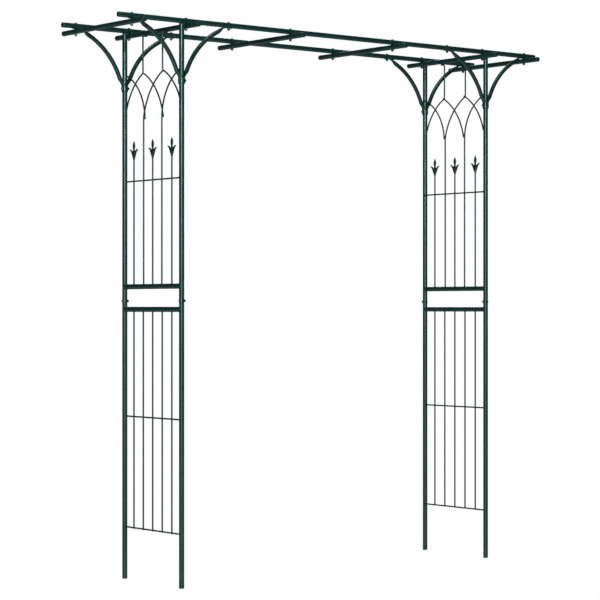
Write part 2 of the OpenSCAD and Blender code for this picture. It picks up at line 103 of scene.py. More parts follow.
floor_tree.links.new(floor_mix.outputs[0], floor_tree.nodes["Material Output"].inputs["Surface"])
floor_mesh.materials.append(floor_paint)
floor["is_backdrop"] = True

# The white backdrop is seen at full strength but lights the arch softly
sky = bpy.data.worlds.new("studio")
sky.use_nodes = True
sky_tree = sky.node_tree
sky_seen = sky_tree.nodes.new("ShaderNodeLightPath")
sky_strength = sky_tree.nodes.new("ShaderNodeMapRange")
sky_strength.inputs["To Min"].default_value = 0.045
sky_strength.inputs["To Max"].default_value = 1.0
sky_tree.links.new(sky_seen.outputs["Is Camera Ray"], sky_strength.inputs["Value"])
sky_tree.nodes["Background"].inputs["Color"].default_value = (1, 1, 1, 1)
sky_tree.links.new(sky_strength.outputs["Result"], sky_tree.nodes["Background"].inputs["Strength"])
bpy.context.scene.world = sky
bpy.context.scene.view_settings.view_transform = "Standard"

add_area_light("key_light", (-6.3, -7.1, 3.0), (0, 0, 1.2), 1.1, 560)
add_area_light("rim_light", (5.6, 6.8, 4.6), (0, 0, 1.2), 2.5, 75)
add_area_light("top_light", (-0.5, -1.0, 7.0), (0, 0, 1.5), 2.0, 110)

eye = bpy.data.cameras.new("camera")
eye.sensor_width = 36
eye.lens = 127.43
eye.shift_x = -0.0008
eye.shift_y = 0.01393
camera = bpy.data.objects.new("camera", eye)
camera.location = (-5.16868, -6.37061, 1.00174)
camera.rotation_euler = (math.pi / 2, 0, -0.676)
bpy.context.scene.collection.objects.link(camera)
bpy.context.scene.camera = camera


# ---- Posts -------------------------------------------------------------------------------
# Four round steel tubes, each in two lengths. The upper length slides over the reduced end of
# the lower one, so a fine groove runs round the post at the seam. Powder coated dark green.
tube_r = 9.5
tube_sides = 40


def box_mm(node):
    """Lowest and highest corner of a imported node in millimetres."""
    low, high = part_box(node)
    return np.array(low) / mm, np.array(high) / mm


def middle(node):
    """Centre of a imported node's box in millimetres."""
    low, high = box_mm(node)
    return (low + high) / 2


def skin(points, wear=0.0, looped=False):
    """Closed skin over rings of points, given as items x stations x sides x 3: each point is
    joined to the next one on its ring and on the next ring, and each open end is filled by
    strips between opposite points of its ring. A looped skin joins its last ring to its first."""
    items, stations, sides = points.shape[:3]
    index = np.arange(items * stations * sides).reshape(items, stations, sides)
    beside = np.roll(index, -1, axis=2)
    if looped:
        faces = [np.stack([index, beside, np.roll(beside, -1, axis=1), np.roll(index, -1, axis=1)], -1)]
    else:
        faces = [np.stack([index[:, :-1], beside[:, :-1], beside[:, 1:], index[:, 1:]], -1)]
        half = sides // 2
        for ring, flip in ((index[:, 0], True), (index[:, -1], False)):
            near, far = ring[:, :half], ring[:, :half - 1:-1]
            strip = np.stack([near[:, :-1], near[:, 1:], far[:, 1:], far[:, :-1]], -1)
            faces.append(strip[..., ::-1] if flip else strip)
    faces = np.concatenate([f.reshape(-1, 4) for f in faces])
    worn = np.broadcast_to(wear, points.shape[:3]).reshape(-1)
    return points.reshape(-1, 3), faces, worn


def carried(path, travel, across, out, side, wear=0.0, looped=False):
    """Skin of a section carried along paths: point = path + out * across + side * (travel x
    across), with path given as items x stations x 3 and out, side as items x stations x sides."""
    travel = np.broadcast_to(travel, path.shape)
    across = np.broadcast_to(across, path.shape)
    third = np.cross(travel, across)
    shape = np.broadcast_shapes(np.shape(out), np.shape(side), path.shape[:2] + (1,))
    out = np.broadcast_to(out, shape)[..., None]
    side = np.broadcast_to(side, shape)[..., None]
    return skin(path[:, :, None] + across[:, :, None] * out + third[:, :, None] * side, wear, looped)


def turned(starts, direction, along, radius, sides=tube_sides, wear=0.0):
    """Round bars turned about straight axes: point = start + along * direction + radius *
    (cos a * across + sin a * third), for the given runs of along and radius."""
    starts = np.atleast_2d(np.asarray(starts, float))
    direction = np.asarray(direction, float)
    across = np.array([1.0, 0, 0]) if abs(direction[2]) > 0.5 else np.array([0, 0, 1.0])
    angle = np.arange(sides) * 2 * np.pi / sides
    path = starts[:, None] + np.asarray(along, float)[None, :, None] * direction
    radius = np.asarray(radius, float)[None, :, None]
    worn = np.broadcast_to(np.asarray(wear, float), np.shape(along))[None, :, None]
    return carried(path, direction, across, radius * np.cos(angle), radius * np.sin(angle), worn)


def cut_tube(a, b, radius, edge=0.6):
    """Run of a bar cut square at a and b with its edges broken to a quarter circle of radius
    edge: along = a + edge (1 - cos q), radius = full - edge (1 - sin q), worn at the edges."""
    q = np.linspace(0, np.pi / 2, 4)
    rise, fall = edge * (1 - np.cos(q)), radius - edge * (1 - np.sin(q))
    along = np.concatenate([a + rise, [a + 5 * edge, b - 5 * edge], (b - rise)[::-1]])
    size = np.concatenate([fall, [radius, radius], fall[::-1]])
    worn = np.concatenate([np.linspace(0.6, 1, 4), [0, 0], np.linspace(1, 0.6, 4)])
    return along, size, worn


def add_piece(name, shells, coat, nodes):
    """One finished piece from closed skins in millimetres, shaded smooth up to 35 degree edges,
    with the worn edges as a vertex attribute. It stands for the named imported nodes."""
    starts = np.cumsum([0] + [len(s[0]) for s in shells[:-1]])
    points = np.concatenate([s[0] for s in shells]) * mm
    faces = np.concatenate([s[1] + n for s, n in zip(shells, starts)])
    mesh = bpy.data.meshes.new(name)
    mesh.from_pydata(points.tolist(), [], faces.tolist())
    mesh.polygons.foreach_set("use_smooth", np.ones(len(faces), bool))
    mesh.set_sharp_from_angle(angle=math.radians(35))
    worn = mesh.attributes.new("wear", "FLOAT", "POINT")
    worn.data.foreach_set("value", np.concatenate([s[2] for s in shells]).astype(np.float32))
    mesh.materials.append(coat)
    mesh.update()
    piece = bpy.data.objects.new(name, mesh)
    bpy.context.scene.collection.objects.link(piece)
    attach(piece, "root")
    if nodes:
        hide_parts(*nodes)
    return piece


def new_group(name, inputs, outputs):
    """Empty shader node group with the given named inputs and outputs."""
    group = bpy.data.node_groups.new(name, "ShaderNodeTree")
    for label, kind, value in inputs:
        socket = group.interface.new_socket(name=label, in_out="INPUT", socket_type=kind)
        socket.default_value = value
    for label, kind in outputs:
        group.interface.new_socket(name=label, in_out="OUTPUT", socket_type=kind)
    return group, group.nodes.new("NodeGroupInput"), group.nodes.new("NodeGroupOutput")


def add_noise(tree, place, scale, detail, roughness=0.5):
    """Noise texture on object coordinates; scale is a number or the socket that gives it."""
    noise = tree.nodes.new("ShaderNodeTexNoise")
    tree.links.new(place, noise.inputs["Vector"])
    if isinstance(scale, (int, float)):
        noise.inputs["Scale"].default_value = scale
    else:
        tree.links.new(scale, noise.inputs["Scale"])
    noise.inputs["Detail"].default_value = detail
    noise.inputs["Roughness"].default_value = roughness
    return noise.outputs["Fac"]


def add_range(tree, value, low, high, to_low, to_high):
    """Smoothly maps value from low..high to to_low..to_high; the last two may be sockets."""
    node = tree.nodes.new("ShaderNodeMapRange")
    node.interpolation_type = "SMOOTHSTEP"
    tree.links.new(value, node.inputs["Value"])
    for label, given in (("From Min", low), ("From Max", high), ("To Min", to_low), ("To Max", to_high)):
        if isinstance(given, (int, float)):
            node.inputs[label].default_value = given
        else:
            tree.links.new(given, node.inputs[label])
    return node.outputs["Result"]


def add_math(tree, kind, first, second):
    """Math node of the given kind; either term may be a number or a socket."""
    node = tree.nodes.new("ShaderNodeMath")
    node.operation = kind
    for socket, given in zip(node.inputs, (first, second)):
        if isinstance(given, (int, float)):
            socket.default_value = given
        else:
            tree.links.new(given, socket)
    return node.outputs[0]


def add_mix(tree, mask, first, second):
    """Colour mix of two colour sockets or colours by a mask."""
    node = tree.nodes.new("ShaderNodeMix")
    node.data_type = "RGBA"
    tree.links.new(mask, node.inputs[0])
    for socket, given in ((node.inputs[6], first), (node.inputs[7], second)):
        if isinstance(given, tuple):
            socket.default_value = given
        else:
            tree.links.new(given, socket)
    return node.outputs[2]


# Powder coat cures in cloudy patches a hand wide, with finer mottling a few millimetres across
cloud_group, cloud_in, cloud_out = new_group(
    "coat_cloud", [("Coat", "NodeSocketColor", (0.02, 0.09, 0.07, 1)),
                   ("Thin Coat", "NodeSocketColor", (0.03, 0.11, 0.09, 1)),
                   ("Patch Scale", "NodeSocketFloat", 9.0), ("Fleck Scale", "NodeSocketFloat", 160.0)],
    [("Color", "NodeSocketColor"), ("Cloud", "NodeSocketFloat")])
cloud_place = cloud_group.nodes.new("ShaderNodeTexCoord").outputs["Object"]
patches = add_noise(cloud_group, cloud_place, cloud_in.outputs["Patch Scale"], 3)
flecks = add_noise(cloud_group, cloud_place, cloud_in.outputs["Fleck Scale"], 4, 0.65)
mottle = add_math(cloud_group, "ADD", add_math(cloud_group, "MULTIPLY", patches, 0.65),
                  add_math(cloud_group, "MULTIPLY", flecks, 0.35))
cloud = add_range(cloud_group, mottle, 0.36, 0.64, 0.0, 1.0)
cloud_group.links.new(add_mix(cloud_group, cloud, cloud_in.outputs["Coat"], cloud_in.outputs["Thin Coat"]),
                      cloud_out.inputs["Color"])
cloud_group.links.new(cloud, cloud_out.inputs["Cloud"])

# Orange peel: the shallow dimpled skin of a cured coat, about 1 mm across
peel_group, peel_in, peel_out = new_group(
    "orange_peel", [("Grain Scale", "NodeSocketFloat", 900.0), ("Low Roughness", "NodeSocketFloat", 0.36),
                    ("High Roughness", "NodeSocketFloat", 0.5)],
    [("Height", "NodeSocketFloat"), ("Roughness", "NodeSocketFloat")])
peel_place = peel_group.nodes.new("ShaderNodeTexCoord").outputs["Object"]
dimples = add_noise(peel_group, peel_place, peel_in.outputs["Grain Scale"], 2, 0.4)
smears = add_noise(peel_group, peel_place, 22.0, 4, 0.6)
peel_group.links.new(dimples, peel_out.inputs["Height"])
peel_group.links.new(add_range(peel_group, smears, 0.3, 0.7, peel_in.outputs["Low Roughness"],
                               peel_in.outputs["High Roughness"]), peel_out.inputs["Roughness"])

# Rubbed edges: where handling has polished the coat thin, broken up into small patches
rub_group, rub_in, rub_out = new_group(
    "edge_rub", [("Amount", "NodeSocketFloat", 0.6), ("Break Scale", "NodeSocketFloat", 240.0)],
    [("Mask", "NodeSocketFloat")])
rub_place = rub_group.nodes.new("ShaderNodeTexCoord").outputs["Object"]
rub_edge = rub_group.nodes.new("ShaderNodeAttribute")
rub_edge.attribute_name = "wear"
rub_break = add_noise(rub_group, rub_place, rub_in.outputs["Break Scale"], 5, 0.7)
rub_sum = add_math(rub_group, "ADD", add_math(rub_group, "MULTIPLY", rub_edge.outputs["Fac"], 0.6),
                   add_math(rub_group, "SUBTRACT", rub_break, 0.5))
rub_group.links.new(add_range(rub_group, rub_sum, 0.25, 0.75, 0.0, rub_in.outputs["Amount"]),
                    rub_out.inputs["Mask"])

# Garden dust: a thin pale film on surfaces that face the sky and in the last hand above the soil
dust_group, dust_in, dust_out = new_group(
    "garden_dust", [("Amount", "NodeSocketFloat", 0.12)], [("Mask", "NodeSocketFloat")])
dust_coordinates = dust_group.nodes.new("ShaderNodeTexCoord")
dust_facing = dust_group.nodes.new("ShaderNodeSeparateXYZ")
dust_group.links.new(dust_coordinates.outputs["Normal"], dust_facing.inputs[0])
dust_height = dust_group.nodes.new("ShaderNodeSeparateXYZ")
dust_group.links.new(dust_coordinates.outputs["Object"], dust_height.inputs[0])
dust_top = add_range(dust_group, dust_facing.outputs["Z"], 0.35, 1.0, 0.0, 1.0)
dust_splash = add_range(dust_group, dust_height.outputs["Z"], 0.0, 0.14, 0.9, 0.0)
dust_break = add_range(dust_group, add_noise(dust_group, dust_coordinates.outputs["Object"], 60.0, 5, 0.65),
                       0.35, 0.7, 0.0, 1.0)
dust_sum = add_math(dust_group, "MULTIPLY", add_math(dust_group, "MAXIMUM", dust_top, dust_splash),
                    dust_break)
dust_group.links.new(add_math(dust_group, "MULTIPLY", dust_sum, dust_in.outputs["Amount"]),
                     dust_out.inputs["Mask"])


def make_coat(name, coat, thin, rubbed, grain, low, high, rub, dust, patch=9.0, fleck=160.0, bump=0.25):
    """Coated surface: cloudy coat colour, rubbed edges over it and dust over both, with the
    coat's roughness and orange peel."""
    paint = bpy.data.materials.new(name)
    paint.use_nodes = True
    tree = paint.node_tree
    shader = tree.nodes["Principled BSDF"]
    parts = {}
    for label, group, values in (("cloud", cloud_group,
                                  {"Coat": coat, "Thin Coat": thin, "Patch Scale": patch,
                                   "Fleck Scale": fleck}),
                                 ("peel", peel_group,
                                  {"Grain Scale": grain, "Low Roughness": low, "High Roughness": high}),
                                 ("rub", rub_group, {"Amount": rub}), ("dust", dust_group, {"Amount": dust})):
        node = tree.nodes.new("ShaderNodeGroup")
        node.node_tree = group
        for socket, value in values.items():
            node.inputs[socket].default_value = value
        parts[label] = node
    worn = add_mix(tree, parts["rub"].outputs["Mask"], parts["cloud"].outputs["Color"], rubbed)
    dusty = add_mix(tree, parts["dust"].outputs["Mask"], worn, (0.30, 0.29, 0.24, 1))
    tree.links.new(dusty, shader.inputs["Base Color"])
    tree.links.new(parts["peel"].outputs["Roughness"], shader.inputs["Roughness"])
    bumped = tree.nodes.new("ShaderNodeBump")
    bumped.inputs["Strength"].default_value = bump
    bumped.inputs["Distance"].default_value = 0.0002
    tree.links.new(parts["peel"].outputs["Height"], bumped.inputs["Height"])
    tree.links.new(bumped.outputs["Normal"], shader.inputs["Normal"])
    shader.inputs["Specular IOR Level"].default_value = 0.8
    shader.inputs["Specular Tint"].default_value = (0.5, 1.0, 0.94, 1)
    return paint


tube_coat = make_coat("tube_powder_coat", (0.0020, 0.0235, 0.0195, 1), (0.0040, 0.0320, 0.0270, 1),
                      (0.055, 0.140, 0.118, 1), 900.0, 0.30, 0.42, 0.6, 0.10)

for place in ("front_left", "back_left", "front_right", "back_right"):
    lower_low = box_mm("lower_post_" + place)[0]
    upper_low, upper_high = box_mm("upper_post_" + place)
    foot = middle("lower_post_" + place) * (1, 1, 0)
    tube_run, tube_girth, worn_ends = cut_tube(lower_low[2], upper_low[2], tube_r)
    add_piece("post_lower_" + place, [turned(foot, (0, 0, 1), tube_run, tube_girth, wear=worn_ends)],
              tube_coat, ["lower_post_" + place])
    tube_run, tube_girth, worn_ends = cut_tube(upper_low[2], upper_high[2], tube_r, 0.9)
    add_piece("post_upper_" + place, [turned(foot, (0, 0, 1), tube_run, tube_girth, wear=worn_ends)],
              tube_coat, ["upper_post_" + place])

# ---- Rails -------------------------------------------------------------------------------
# Two tubes across each side panel, one at the head of the lower section and one at the foot of
# the upper section. Their ends are notched round the posts and welded all round.
post_front = middle("lower_post_front_left")[1]
post_back = middle("lower_post_back_left")[1]
weld_coat = make_coat("welded_coat", (0.0018, 0.0200, 0.0165, 1), (0.0034, 0.0270, 0.0225, 1),
                      (0.055, 0.130, 0.108, 1), 520.0, 0.42, 0.6, 0.35, 0.12, 30.0, 420.0, 0.5)


def notched_tube(x, z, radius, post_radius):
    """Tube across the panel whose ends follow the posts: at angle a round the tube, the end
    lies where the post's wall is, y = post centre -/+ sqrt(post radius^2 - (radius cos a)^2)."""
    angle = np.arange(tube_sides) * 2 * np.pi / tube_sides
    inset = np.sqrt(np.maximum(post_radius ** 2 - (radius * np.cos(angle)) ** 2, 0)) - 0.3
    share = np.array([0, 0.01, 0.03, 0.97, 0.99, 1.0])[:, None]
    y = (post_front + inset) * (1 - share) + (post_back - inset) * share
    points = np.stack([np.broadcast_to(x - radius * np.cos(angle), y.shape), y,
                       np.broadcast_to(z + radius * np.sin(angle), y.shape)], -1)
    worn = np.array([0.8, 0.2, 0, 0, 0.2, 0.8])[None, :, None]
    return skin(points[None], worn)


def weld_beads(joints, bead, ripples):
    """Weld beads round the mouths of bars that meet round tubes. A joint is (point on the tube's
    axis, direction of the bar, direction of the tube, tube radius, bar radius, offset). The seam
    is p = point + bar * sqrt(tube radius^2 - s^2) + tube * bar radius * cos b + side * s, with
    s = offset + bar radius * sin b; the bead is a ring of radius bead (1 + 0.14 cos(ripples b))
    round that seam."""
    point, bar, tube = (np.array([j[k] for j in joints], float)[:, None] for k in range(3))
    tube_radius, bar_radius, offset = (np.array([j[k] for j in joints], float)[:, None] for k in (3, 4, 5))
    b = np.arange(44) * 2 * np.pi / 44
    side = np.cross(bar, tube)
    s = offset + bar_radius * np.sin(b)
    reach_out = np.sqrt(np.maximum(tube_radius ** 2 - s ** 2, 0.2))
    seam = (point + bar * reach_out[..., None] + tube * (bar_radius * np.cos(b))[..., None]
            + side * s[..., None])
    radial = tube * np.cos(b)[None, :, None] + side * np.sin(b)[None, :, None]
    v = np.arange(10) * 2 * np.pi / 10
    size = (bead * (1 + 0.14 * np.cos(ripples * b)))[None, :, None, None]
    ring = (radial[:, :, None] * np.cos(v)[None, None, :, None]
            - bar[:, :, None] * np.sin(v)[None, None, :, None])
    return skin(seam[:, :, None] + size * ring, 0.35, True)


def tack_welds(points, radii):
    """Small lumps of weld: ellipsoids about the given points, point + radii * (sin h cos a,
    sin h sin a, -cos h), with h from just off one pole to just off the other."""
    points = np.atleast_2d(np.asarray(points, float))
    radii = np.broadcast_to(np.asarray(radii, float), points.shape)
    h = np.linspace(0.12, np.pi - 0.12, 9)[:, None]
    a = (np.arange(16) * 2 * np.pi / 16)[None, :]
    unit = np.stack([np.sin(h) * np.cos(a), np.sin(h) * np.sin(a), np.broadcast_to(-np.cos(h), (9, 16))], -1)
    return skin(points[:, None, None] + radii[:, None, None] * unit, 0.3)


for hand in ("left", "right"):
    seams = []
    for level in ("lower", "upper"):
        node = "%s_rail_%s" % (level, hand)
        x, _, z = middle(node)
        add_piece("rail_%s_%s" % (level, hand), [notched_tube(x, z, tube_r, tube_r)], tube_coat,
                  [node])
        seams += [((x, post_front, z), (0, 1, 0), (0, 0, 1), tube_r, tube_r - 0.15, 0),
                  ((x, post_back, z), (0, -1, 0), (0, 0, 1), tube_r, tube_r - 0.15, 0)]
    add_piece("rail_welds_" + hand, [weld_beads(seams, 1.25, 26)], weld_coat, [])

# ---- Upright bars and cross rods ---------------------------------------------------------
# Five solid 6 mm rods stand in each lower section and three in each upper one, welded into the
# rails. Cross rods lie on their passage side, tacked at every crossing and welded to the posts.
rod_r = 3.0
rod_sides = 24
pitch = (post_back - post_front) / 6
bar_rows = (np.arange(5) - 2) * pitch
finial_rows = (np.arange(3) - 1) * 2 * pitch
# The rods' coat is the tube coat darkened to about two thirds. This is painted shade that makes the thin rods
# read darker than the tubes.
rod_coat_painted_shade = make_coat("rod_powder_coat", (0.0012, 0.0150, 0.0125, 1), (0.0024, 0.0205, 0.0172, 1),
                     (0.050, 0.130, 0.108, 1), 1000.0, 0.32, 0.45, 0.5, 0.10, 12.0, 220.0)


def upright_rods(x, rows, a, b):
    """Upright rods at the given rows, cut square at both ends with broken edges."""
    starts = np.stack([np.full(len(rows), x), rows, np.zeros(len(rows))], -1)
    along, size, worn = cut_tube(a, b, rod_r, 0.5)
    return turned(starts, (0, 0, 1), along, size, rod_sides, worn)


for hand, side in (("left", -1), ("right", 1)):
    post_x = middle("lower_post_front_" + hand)[0]
    rail_low, rail_high = middle("lower_rail_" + hand)[2], middle("upper_rail_" + hand)[2]
    bars_low = box_mm("lower_bars_" + hand)[0]
    finials_low = box_mm("finials_" + hand)[0]
    add_piece("bars_lower_" + hand, [upright_rods(post_x, bar_rows, bars_low[2], rail_low - tube_r + 1.5)],
              rod_coat_painted_shade, ["lower_bars_" + hand])
    add_piece("bars_finial_" + hand, [upright_rods(post_x, finial_rows, rail_high + tube_r - 1.5,
                                                   finials_low[2] + 6)],
              rod_coat_painted_shade, ["finial_bars_" + hand])
    cross_low, cross_high = box_mm("lower_cross_rods_" + hand)
    cross_levels = {"lower_cross_rods_" + hand: (cross_low[2] + rod_r, cross_high[2] - rod_r),
                    "upper_cross_rod_" + hand: (middle("upper_cross_rod_" + hand)[2],)}
    cross_x = middle("upper_cross_rod_" + hand)[0]
    seams, tacks = [], []
    for node, levels in cross_levels.items():
        starts = [(cross_x, 0, z) for z in levels]
        rod = turned(starts, (0, 1, 0), *cut_tube(post_front + 1, post_back - 1, rod_r, 0.5)[:2], rod_sides)
        add_piece("rods_" + node, [rod], rod_coat_painted_shade, [node])
        for z in levels:
            seams += [((post_x, post_front, z), (0, 1, 0), (0, 0, 1), tube_r, rod_r, cross_x - post_x),
                      ((post_x, post_back, z), (0, -1, 0), (0, 0, 1), tube_r, rod_r, post_x - cross_x)]
            rows = finial_rows if "upper" in node else bar_rows
            tacks += [((post_x + cross_x) / 2, y, z) for y in rows]
    for y in bar_rows:
        seams.append(((post_x, y, rail_low), (0, 0, -1), (0, 1, 0), tube_r, rod_r, 0))
    for y in finial_rows:
        seams.append(((post_x, y, rail_high), (0, 0, 1), (0, 1, 0), tube_r, rod_r, 0))
    add_piece("rod_welds_" + hand, [weld_beads(seams, 0.8, 9), tack_welds(tacks, (1.3, 2.7, 2.7))],
              weld_coat, [])

# ---- Spear finials -----------------------------------------------------------------------
# Cast iron spear heads with two curled leaves, slipped over the upper ends of the three bars.
# A raised ridge runs up the blade; the casting is rounder and a little rougher than the rods.
cast_coat = make_coat("cast_coat", (0.0014, 0.0165, 0.0138, 1), (0.0028, 0.0230, 0.0192, 1),
                      (0.058, 0.138, 0.112, 1), 430.0, 0.4, 0.56, 0.6, 0.12, 26.0, 380.0, 0.6)


def smooth_through(heights, values, at):
    """Smooth curve through the given values at the given heights: straight between them, then
    averaged over a sliding window of 5 fine steps so that no corner is left."""
    fine = np.linspace(heights[0], heights[-1], 400)
    run = np.interp(fine, heights, values)
    window = np.ones(17) / 17
    run = np.convolve(np.pad(run, 8, mode="edge"), window, "valid")
    return np.interp(at, fine, run)


def spear_heads(feet):
    """Blade and socket: at height h the section is y = w cos a |cos a|^0.35, x = t sin a
    |sin a|^0.35, a rounded lozenge of half width w(h) and half thickness t(h)."""
    h = np.linspace(0, 71, 56)
    width = smooth_through([0, 4, 14, 22, 30, 36, 41, 49, 57, 64, 68.5, 71],
                           [4.4, 4.9, 8.6, 10.6, 8.6, 5.0, 5.6, 8.3, 7.6, 4.6, 2.2, 0.35], h)
    thick = smooth_through([0, 4, 14, 22, 36, 49, 62, 71], [4.4, 4.7, 5.8, 5.6, 3.2, 4.3, 2.6, 0.35], h)
    a = np.arange(32) * 2 * np.pi / 32
    soften = lambda c: np.sign(c) * np.abs(c) ** 1.35
    path = feet[:, None] + h[None, :, None] * np.array([0, 0, 1.0])
    worn = np.abs(np.cos(a))[None, None, :] ** 10 + (h > 66)[None, :, None] * 0.8
    return carried(path, (0, 0, 1), (0, 1, 0), width[None, :, None] * soften(np.cos(a)),
                   thick[None, :, None] * soften(np.sin(a)), worn)


def leaves(feet):
    """Curled leaves: a flattened oval carried along the curve B(t) through (y, z) = (3, 9),
    (10, 25), (15, 40), (28.2, 37.6), its half width falling from 5 to 0.7 towards the tip."""
    t = np.linspace(0, 1, 26)[:, None]
    ctrl = np.array([(3.0, 9.0), (10.0, 25.0), (15.0, 40.0), (28.2, 37.6)])
    curve = ((1 - t) ** 3 * ctrl[0] + 3 * (1 - t) ** 2 * t * ctrl[1]
             + 3 * (1 - t) * t ** 2 * ctrl[2] + t ** 3 * ctrl[3])
    slope = 3 * ((1 - t) ** 2 * (ctrl[1] - ctrl[0]) + 2 * (1 - t) * t * (ctrl[2] - ctrl[1])
                 + t ** 2 * (ctrl[3] - ctrl[2]))
    slope /= np.linalg.norm(slope, axis=1)[:, None]
    half = 0.7 + 4.3 * np.sin(np.pi * (0.35 + 0.65 * t[:, 0])) ** 0.8
    half[-1] = 0.25
    a = np.arange(16) * 2 * np.pi / 16
    shells = []
    for hand in (-1, 1):
        spots = np.stack([np.zeros(26), hand * curve[:, 0], curve[:, 1]], -1)
        travel = np.stack([np.zeros(26), hand * slope[:, 0], slope[:, 1]], -1)
        path = feet[:, None] + spots[None]
        thick = np.minimum(2.9, half * 0.8)
        across = np.broadcast_to(np.array([1.0, 0, 0]), path.shape)
        shells.append(carried(path, np.broadcast_to(travel, path.shape), across,
                              (thick[:, None] * np.cos(a))[None],
                              (half[:, None] * np.sin(a))[None], (np.abs(np.sin(a)) ** 8)[None, None] * 0.9))
    return shells


for hand in ("left", "right"):
    low, high = box_mm("finials_" + hand)
    x = (low[0] + high[0]) / 2
    feet = np.stack([np.full(3, x), finial_rows, np.full(3, low[2])], -1)
    add_piece("spears_" + hand, [spear_heads(feet)] + leaves(feet), cast_coat,
              ["finials_" + hand])

# ---- Tracery -----------------------------------------------------------------------------
# Rods of the upper section: two stems, and arcs rolled from the same 6 mm rod in two layers.
# Arcs of one lean stand on the stems; those of the other lean lap beside them on the passage side.
arc_shapes = (("inner", 234.6, 43.5), ("outer", 185.0, 8.5), ("post", 219.04, 29.0))
lap = 3.5


def rod_arcs(centres, radius, starts, ends, layer_x):
    """Rod carried along circular arcs in the panel: point = centre + radius (cos th, sin th) in
    (y, z), th running from start to end, with a round section of the rod."""
    q = np.concatenate([[0, 0.003, 0.008], np.linspace(0.016, 0.984, 40), [0.992, 0.997, 1]])
    thin = rod_r * np.concatenate([[0.45, 0.8, 0.95], np.ones(40), [0.95, 0.8, 0.45]])[None, :, None]
    th = np.asarray(starts)[:, None] * (1 - q) + np.asarray(ends)[:, None] * q
    y = np.asarray(centres)[:, :1] + radius * np.cos(th)
    z = np.asarray(centres)[:, 1:] + radius * np.sin(th)
    path = np.stack([np.broadcast_to(np.asarray(layer_x)[:, None], y.shape), y, z], -1)
    turn = np.sign(np.asarray(ends) - np.asarray(starts))[:, None]
    travel = np.stack([np.zeros_like(th), -np.sin(th) * turn, np.cos(th) * turn], -1)
    a = np.arange(rod_sides) * 2 * np.pi / rod_sides
    return carried(path, travel, np.array([1.0, 0, 0]), thin * np.cos(a), thin * np.sin(a))


for hand, side in (("left", -1), ("right", 1)):
    stems_low, stems_high = box_mm("tracery_stems_" + hand)
    drops_low, drops_high = box_mm("drop_rods_" + hand)
    x = (stems_low[0] + stems_high[0]) / 2
    stem_y = stems_high[1] - rod_r
    drop_y = drops_high[1] - rod_r
    spring_z = stems_high[2]
    apex_z = drops_low[2]
    rail_z = middle("upper_rail_" + hand)[2]
    stems = upright_rods(x, np.array([-stem_y, stem_y]), rail_z + tube_r - 1.5, spring_z)
    add_piece("stems_" + hand, [stems], rod_coat_painted_shade, ["tracery_stems_" + hand])
    groups = []
    tacks = []
    foot_welds = []
    for kind, radius, drop in arc_shapes:
        centre_z = spring_z - drop
        if kind == "inner":
            centre_y = -(math.sqrt(radius ** 2 - drop ** 2) - stem_y)
        elif kind == "outer":
            centre_y = stem_y + math.sqrt(radius ** 2 - drop ** 2)
        else:
            centre_y = math.sqrt(radius ** 2 - (apex_z - centre_z) ** 2) - drop_y
            centre_y = -centre_y
        for m in (-1, 1):
            lean = m if kind == "outer" else -m
            layer = x - side * (2 * rod_r + 0.05 if lean > 0 else 0)
            low_z = spring_z - (lap if lean > 0 else 0)
            cy = m * centre_y
            if kind == "inner":
                start = math.asin((low_z - centre_z) / radius)
                start = start if m > 0 else math.pi - start
                end_y = -m * (drop_y + (rod_r if m < 0 else 0))
                end = math.acos((end_y - cy) / radius)
            elif kind == "outer":
                start = math.asin((low_z - centre_z) / radius)
                start = math.pi - start if m > 0 else start
                end = math.acos((m * (post_back - tube_r + 1.5) - cy) / radius)
            else:
                start = math.acos((m * (post_back - tube_r + 1.5) - cy) / radius)
                end = math.acos((m * (drop_y - (rod_r if -m > 0 else 0)) - cy) / radius)
            groups.append((cy, centre_z, radius, start, end, layer))
            if kind != "inner":
                edge = start if kind == "post" else end
                foot_welds.append((layer, cy + radius * math.cos(edge) , centre_z + radius * math.sin(edge)))
            if lean > 0:
                tacks.append((x - side * rod_r, m * stem_y if kind != "post" else m * drop_y,
                              spring_z - 2 if kind != "post" else apex_z - 2))
    arcs = [rod_arcs([(g[0], g[1])], g[2], [g[3]], [g[4]], [g[5]]) for g in groups]
    add_piece("arcs_" + hand, arcs, rod_coat_painted_shade, ["tracery_arcs_" + hand])
    add_piece("arc_welds_" + hand, [tack_welds(foot_welds, (3.9, 2.6, 4.2)),
                                    tack_welds(tacks, (1.5, 2.2, 3.6))], weld_coat, [])

